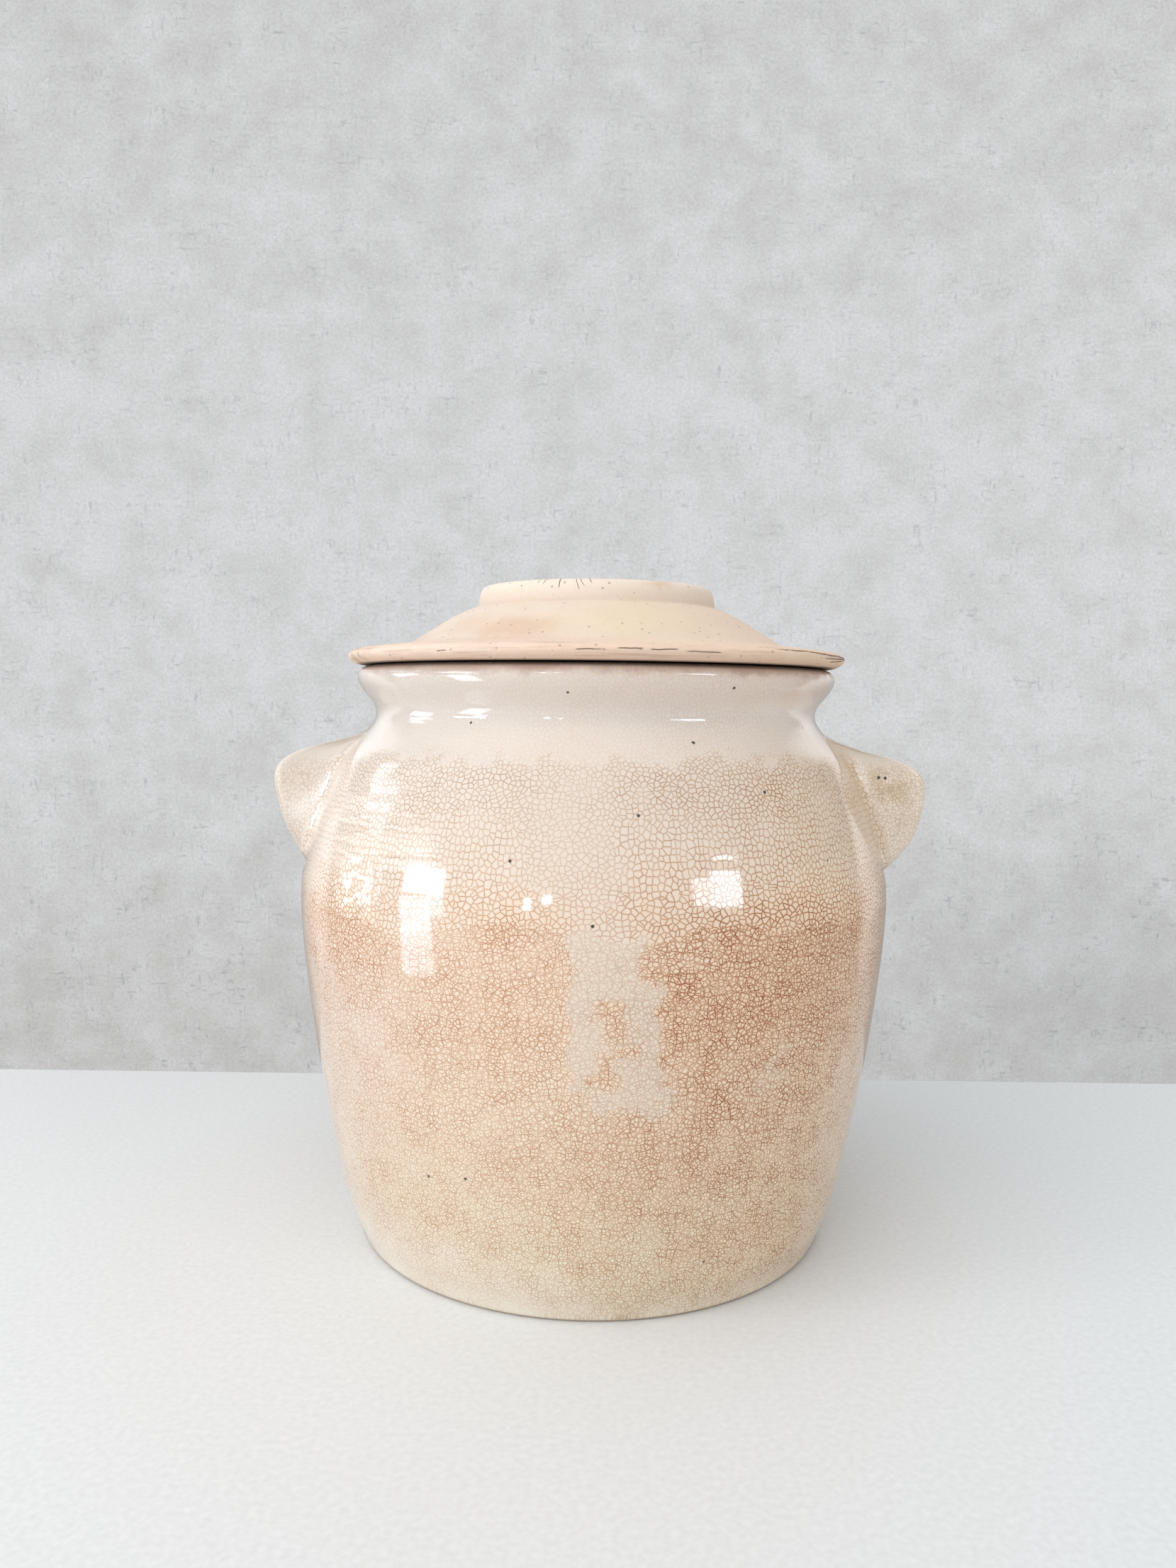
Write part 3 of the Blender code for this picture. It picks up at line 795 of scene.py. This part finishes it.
def crock_glaze():
    """Mix the crazed cream glaze of the crock."""
    made, paint, shader = new_paint("crock_glaze")
    at = glaze_places(paint)
    draw_craze(paint, at)
    find_areas(at)
    at.strength = craze_strength(at)
    glazed = soil_glaze(at, stain_cracks(at, colour_glaze(paint, at)))

    # Waves and throwing ribs in the glaze, and ribs and swirls that break the window's light
    ribbed = patch(at.turn, at.z, -44.0, 0.172, 0.034, 0.016, 0.5)
    along_ribs = paint.node("ShaderNodeCombineXYZ", None, {0: at.around * 1.2, 1: at.climb * 260.0})
    sockets = {"Vector": along_ribs, "Scale": 1.0, "Detail": 2.0}
    ribs = paint.node("ShaderNodeTexNoise", {"noise_dimensions": "2D"}, sockets)
    relief = clouds(at.place, 0.050, 1.0) * 0.00020 + clouds(at.place, 0.012, 1.0) * 0.00003
    relief = relief + ribs * (0.000012 * fade(at.z, 0.120, 0.160) + 0.00008 * ribbed)
    relief = relief + clouds(at.place, 0.0022, 1.0) * 0.000002
    relief = relief - at.line * at.strength * 0.000004 - at.holes * 0.0004
    wavy = patch(at.turn, at.z, -44.6, 0.1530, 0.013, 0.013, 0.2)
    swirl = fade(abs(clouds(at.place, 0.0080, 1.0) - 0.54), 0.075, 0.030)
    gloss = 0.018 + at.middling * 0.02 + at.line * at.strength * 0.05 + at.crown_dirt * 0.35 + at.foot * 0.6
    gloss = gloss + fade(at.lug, 0.04, 0.30) * 0.27
    gloss = gloss + wavy * (1.0 - swirl) * 0.55 + ribbed * fade(ribs, 0.47, 0.53) * 0.36
    wire_up(made, shader, glazed, gloss, relief)
    shader.inputs["IOR"].default_value = 1.52
    return made


def wire_up(made, shader, base, roughness, relief):
    """Join the finished colour, roughness and relief to the shader."""
    normal = relief.node("ShaderNodeBump", None, {"Height": relief, "Distance": 1.0, "Strength": 1.0})
    made.node_tree.links.new(base.socket, shader.inputs["Base Color"])
    made.node_tree.links.new(roughness.socket, shader.inputs["Roughness"])
    made.node_tree.links.new(normal.socket, shader.inputs["Normal"])


# Bare clay of the lid
def lid_cracks(at):
    """Draw the cracks along the flange and down from the top edge of the knob."""
    cracks = None
    for start, end, level, slope, half in LID_CRACKS:
        along = arc_place(at.turn, (start + end) / 2.0, FLANGE_RADIUS)
        reach = math.radians(end - start) / 2.0 * FLANGE_RADIUS
        off = at.z - level * MM - along * slope + (at.middling - 0.5) * 0.0010 + (at.small - 0.5) * 0.0007
        found = fade(abs(off), half * MM, half * MM * 0.3) * fade(abs(along), reach, reach * 0.8)
        found = found * fade(at.radius, 0.090, 0.096) * fade(clouds(at.place, 0.0050, 3.0), 0.34, 0.46)
        cracks = found if cracks is None else highest(cracks, found)
    for degrees, low, high, lean, half in KNOB_CRACKS:
        off = arc_place(at.turn, degrees, KNOB_RADIUS) - (at.z - high * MM) * lean + (at.small - 0.5) * 0.0012
        found = fade(abs(off), half * MM, half * MM * 0.4) * fade(at.z, low * MM, low * MM + 0.0012)
        found = found * fade(at.radius, 0.0440, 0.0460) * fade(at.y, 0.0, -0.01) * fade(at.small, 0.30, 0.45)
        cracks = highest(cracks, found)
    return cracks


def colour_clay(at):
    """Mix the clay's own colours: paler on the knob, pinker on the flange, browner at the right."""
    clay = blend(fade(at.middling, 0.30, 0.70), colour(0.84, 0.70, 0.585), colour(0.865, 0.735, 0.63))
    clay = blend(fade(at.broad, 0.45, 0.70) * 0.6, clay, colour(0.84, 0.71, 0.545))
    clay = blend(at.flange * (0.35 + at.middling * 0.5), clay, colour(0.97, 0.74, 0.59))
    clay = blend(fade(at.x, 0.01, 0.09) * 0.5, clay, colour(0.80, 0.60, 0.43))
    return blend(fade(at.z, 0.2545, 0.2570) * 0.7, clay, colour(0.94, 0.83, 0.72))


def soil_clay(paint, at, clay):
    """Smudge the clay, darken its crease, dirty its edge and paint shadow under the flange."""
    turn = at.turn + (at.middling - 0.5) * 0.30
    height = at.z + (at.small - 0.5) * 0.005
    smudge = strongest(patch, turn, height, SMUDGES)
    anywhere = fade(clouds(at.place, 0.024, 5.0, 0.6), 0.56, 0.74) * (0.5 + fade(at.y, -0.03, 0.02) * 0.5)
    smudge = held(highest(smudge * (0.45 + at.middling * 0.9), anywhere * 0.45))
    clay = blend(smudge * 0.55, clay, colour(0.70, 0.44, 0.28))
    ochre = patch(turn, height, 12.0, 0.2470, 0.034, 0.0070, 0.8, DOME_RADIUS)
    clay = blend(ochre * 0.45, clay, colour(0.86, 0.71, 0.49))
    # The crease at the foot of the knob is darkened
    crease = fade(at.radius, 0.0510, 0.0492) * fade(at.radius, 0.0478, 0.0490) * fade(at.z, 0.250, 0.254)
    clay = blend(crease * 0.30, clay, colour(0.62, 0.46, 0.36))
    edge_dirt = fade(at.z + (at.small - 0.5) * 0.003, 0.2340, 0.2314) * at.flange
    clay = blend(edge_dirt * 0.35, clay, colour(0.72, 0.47, 0.33))
    sockets = {0: at.turn * FLANGE_RADIUS / 0.030, 1: at.z / 0.0012, 2: 0.0}
    streaks = paint.node("ShaderNodeCombineXYZ", None, sockets)
    streaks = clouds(streaks, 1.0, 3.0, 0.6) * fade(at.radius, 0.092, 0.097)
    clay = blend(fade(streaks, 0.52, 0.66) * 0.40, clay, colour(0.56, 0.36, 0.25))
    tip_dirt = patch(turn, height, -70.0, 0.2350, 0.022, 0.0060, 0.6, FLANGE_RADIUS)
    clay = blend(tip_dirt * fade(at.small, 0.35, 0.65) * 0.6, clay, colour(0.50, 0.32, 0.22))
    # Painted shadow: the underside of the flange, where it overhangs the crown, is made near-black
    flange_underside_painted_shadow = fade(at.z, 0.2312, 0.2305) * fade(at.radius, 0.0800, 0.0820)
    return blend(flange_underside_painted_shadow * 0.8, clay, colour(0.16, 0.11, 0.08))


def lid_bisque():
    """Mix the bare, matt and slightly soiled clay of the lid."""
    made, paint, shader = new_paint("bare_bisque")
    at = SimpleNamespace()
    at.place = paint.node("ShaderNodeTexCoord", out="Object")
    at.x = at.place.node("ShaderNodeSeparateXYZ", None, {0: at.place}, out="X")
    at.y = at.x.other("Y")
    at.z = at.x.other("Z")
    at.turn = at.x.math("ARCTAN2", at.x, -at.y)
    at.radius = at.x.math("SQRT", at.x * at.x + at.y * at.y)
    at.flange = fade(at.radius, 0.074, 0.083)
    at.broad = clouds(at.place, 0.050, 4.0)
    at.middling = clouds(at.place, 0.014, 4.0)
    at.small = clouds(at.place, 0.0045, 3.0)
    grain = clouds(at.place, 0.0011, 2.0)

    clay = soil_clay(paint, at, colour_clay(at))
    specks = cells(at.place, 420.0, "F1", "Distance", "3D")
    pick = specks.other("Color")
    chance = pick.node("ShaderNodeSeparateColor", None, {0: pick}, out="Red")
    speck = fade(specks, 0.26, 0.14) * fade(chance, 0.80, 0.86)
    clay = blend(speck * 0.55, clay, colour(0.30, 0.20, 0.14))
    clay = blend(1.0, clay, blend(grain, colour(0.93, 0.92, 0.91), colour(1.05, 1.05, 1.05)), "MULTIPLY")
    cracks = lid_cracks(at)
    clay = blend(cracks * 0.85, clay, colour(0.16, 0.10, 0.065))
    relief = clouds(at.place, 0.035, 2.0) * 0.0010 + at.small * 0.00012 + grain * 0.00009
    relief = relief - speck * 0.0001 - cracks * 0.0004
    wire_up(made, shader, clay, 0.82 + grain * 0.12, relief)
    shader.inputs["Specular IOR Level"].default_value = 0.22
    return made


# Studio
def white_board():
    """Mix the plain pale paint of the floor, with a painted cool cast of light at its right."""
    made, paint, shader = new_paint("white_board")
    place = paint.node("ShaderNodeTexCoord", out="Object")
    tone = clouds(place, 0.25, 3.0)
    grain = clouds(place, 0.0022, 2.0)
    base = blend(tone, colour(0.80, 0.815, 0.82), colour(0.84, 0.855, 0.86))
    x = place.node("ShaderNodeSeparateXYZ", None, {0: place}, out="X")
    # Painted light: a cooler cast towards the right of the floor
    base = blend(fade(x, 0.0, 0.2) * 0.6, base, colour(0.83, 0.885, 0.91))
    base = blend(1.0, base, blend(grain, colour(0.91, 0.91, 0.91), colour(1.11, 1.11, 1.11)), "MULTIPLY")
    made.node_tree.links.new(base.socket, shader.inputs["Base Color"])
    shader.inputs["Roughness"].default_value = 0.55
    shader.inputs["Specular IOR Level"].default_value = 0.25
    return made


def pale_wall():
    """Mix the light grey wall, which is not seen from behind."""
    made = bpy.data.materials.new("pale_wall")
    made.use_nodes = True
    tree = made.node_tree
    tree.nodes.clear()
    paint = Wire(tree)
    place = paint.node("ShaderNodeTexCoord", out="Object")
    level_strokes = paint.node("ShaderNodeMapping", None, {"Vector": place, "Scale": (0.30, 1.0, 1.0)})
    upright_strokes = paint.node("ShaderNodeMapping", None, {"Vector": place, "Scale": (1.0, 0.30, 1.0)})
    mottle = clouds(place, 0.034, 5.0, 0.6) + (clouds(place, 0.011, 2.0) - 0.5) * 0.45
    grain = clouds(place, 0.0017, 2.0, 0.8)
    strokes = highest(clouds(level_strokes, 0.0026, 3.0, 0.7), clouds(upright_strokes, 0.0026, 3.0, 0.7))
    worn = fade(clouds(place, 0.022, 4.0, 0.65), 0.42, 0.64) * fade(strokes, 0.53, 0.72)
    side = place.node("ShaderNodeSeparateXYZ", None, {0: place}, out="X")
    up = side.other("Y") + 2.0
    # Painted light: the glowing wall is made brighter and darker by height, broken by its own mottling
    painted_light_and_mottle = held(0.20 + fade(up, 0.0, 0.24) * 0.62 - fade(up, 0.33, 0.62) * 0.26 + (mottle - 0.5) * 1.7)
    tone = blend(painted_light_and_mottle, colour(0.525, 0.525, 0.515), colour(0.675, 0.68, 0.69))
    tone = blend(1.0, tone, blend(grain, colour(0.76, 0.76, 0.76), colour(1.26, 1.26, 1.26)), "MULTIPLY")
    tone = blend(held(worn * (0.55 + fade(up, 0.20, 0.06) * 0.35)), tone, colour(0.36, 0.37, 0.38))
    # Painted shade: the wall is darkened towards its lower right
    tone = blend(fade(side, 0.05, 0.30) * 0.18 * fade(up, 0.20, 0.05), tone, colour(0.30, 0.31, 0.34))
    # Painted reflection: glossy rays see the middle of the wall brighter, and the glaze mirrors it as a pale
    # band down each side
    mirrored = paint.node("ShaderNodeLightPath", out="Is Glossy Ray")
    out_from_middle = abs(side) + fade(up, 0.15, 0.32) * 0.20
    band = fade(out_from_middle, 0.56, 0.45) * fade(out_from_middle, 0.22, 0.44)
    power = 1.0 + mirrored * (band * 1.5 - 0.35)
    tone = paint.node("ShaderNodeVectorMath", {"operation": "SCALE"}, {0: tone, "Scale": power})
    glow = paint.node("ShaderNodeEmission", None, {"Color": tone, "Strength": 1.0})
    clear = paint.node("ShaderNodeBsdfTransparent")
    behind = paint.node("ShaderNodeNewGeometry", out="Backfacing")
    seen = paint.node("ShaderNodeMixShader", None, {0: behind, 1: glow, 2: clear})
    out = tree.nodes.new("ShaderNodeOutputMaterial")
    tree.links.new(seen.socket, out.inputs["Surface"])
    return made


def make_stage():
    """Lay the floor and stand the wall behind the crock."""
    bpy.ops.object.select_all(action="DESELECT")
    bpy.ops.mesh.primitive_plane_add(size=6.0, location=(0.0, 0.0, 0.0))
    floor = bpy.context.object
    floor.name = "floor"
    floor.data.materials.append(white_board())
    bpy.ops.object.select_all(action="DESELECT")
    bpy.ops.mesh.primitive_plane_add(
        size=4.0,
        location=(0.0, WALL_BACK, 2.0),
        rotation=(math.radians(90.0), 0.0, 0.0),
    )
    wall = bpy.context.object
    wall.name = "wall"
    wall.data.materials.append(pale_wall())
    wall.visible_diffuse = False
    wall.visible_shadow = False
    wall.visible_transmission = False


def add_lamp(name, azimuth, elevation, distance, width, height, brightness, use, tint=(1, 1, 1), roll=0):
    """Hang a soft rectangular lamp that faces the crock, to light it or to shine on its glaze."""
    data = bpy.data.lights.new(name, "AREA")
    data.shape = "RECTANGLE"
    data.size = width
    data.size_y = height
    data.energy = 4.0 * width * height * brightness
    data.color = tint
    lamp = bpy.data.objects.new(name, data)
    bpy.context.scene.collection.objects.link(lamp)
    turn = math.radians(azimuth)
    lift = math.radians(elevation)
    away = Vector((math.sin(turn) * math.cos(lift), -math.cos(turn) * math.cos(lift), math.sin(lift)))
    lamp.location = Vector((0.0, 0.0, LAMP_AIM)) + away * distance
    facing = away.to_track_quat("Z", "Y") @ Quaternion((0, 0, 1), math.radians(roll))
    lamp.rotation_euler = facing.to_euler()
    lamp.visible_camera = False
    lamp.visible_diffuse = use == "light"
    lamp.visible_glossy = use == "shine"
    return lamp


def light_studio():
    """Light the crock from all round, with two windows at the front."""
    add_lamp("left_light", -69.0, 10.0, 1.6, 0.46, 0.46, 6.9, "light", (0.96, 1.0, 1.04))
    add_lamp("right_light", 49.0, 15.0, 1.6, 0.52, 0.30, 2.7, "light", (1.08, 1.0, 0.90))
    add_lamp("front_fill", -28.0, 48.0, 2.0, 2.2, 2.2, 1.08, "light")
    add_lamp("top_fill", 0.0, 88.0, 1.8, 1.6, 1.6, 0.40, "light")
    for name, azimuth, elevation, distance, width, height, brightness, roll in PANES:
        add_lamp(name, azimuth, elevation, distance, width, height, brightness, "shine", PANE_TINT, roll)
    world = bpy.data.worlds.new("studio_air")
    bpy.context.scene.world = world
    world.use_nodes = True
    air = world.node_tree.nodes["Background"]
    air.inputs["Color"].default_value = (0.98, 0.99, 1.0, 1.0)
    air.inputs["Strength"].default_value = 0.475


def place_camera():
    """Stand the camera where the photograph was taken."""
    pitch = math.radians(3.987)
    roll = math.radians(0.618)
    yaw = math.radians(-0.323)
    ahead = Vector((math.sin(yaw) * math.cos(pitch), math.cos(yaw) * math.cos(pitch), -math.sin(pitch)))
    level_right = ahead.cross(Vector((0.0, 0.0, 1.0))).normalized()
    level_up = level_right.cross(ahead)
    right = math.cos(roll) * level_right + math.sin(roll) * level_up
    up = math.cos(roll) * level_up - math.sin(roll) * level_right
    data = bpy.data.cameras.new("camera")
    data.sensor_fit = "AUTO"
    data.sensor_width = 36.0
    data.lens = 27.016
    data.clip_start = 0.01
    camera = bpy.data.objects.new("camera", data)
    bpy.context.scene.collection.objects.link(camera)
    pose = Matrix((right, up, -ahead)).transposed().to_4x4()
    pose.translation = Vector((0.0, -0.49273, 0.21660))
    camera.matrix_world = pose
    bpy.context.scene.camera = camera


crock = make_crock()
crock.data.materials.clear()
crock.data.materials.append(crock_glaze())
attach(crock, "pot")
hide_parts("pot_body", "ear_left", "ear_right")

lid = make_lid()
lid.data.materials.clear()
lid.data.materials.append(lid_bisque())
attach(lid, "lid")
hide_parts("lid")

make_stage()
light_studio()
place_camera()
bpy.context.scene.view_settings.view_transform = "Standard"
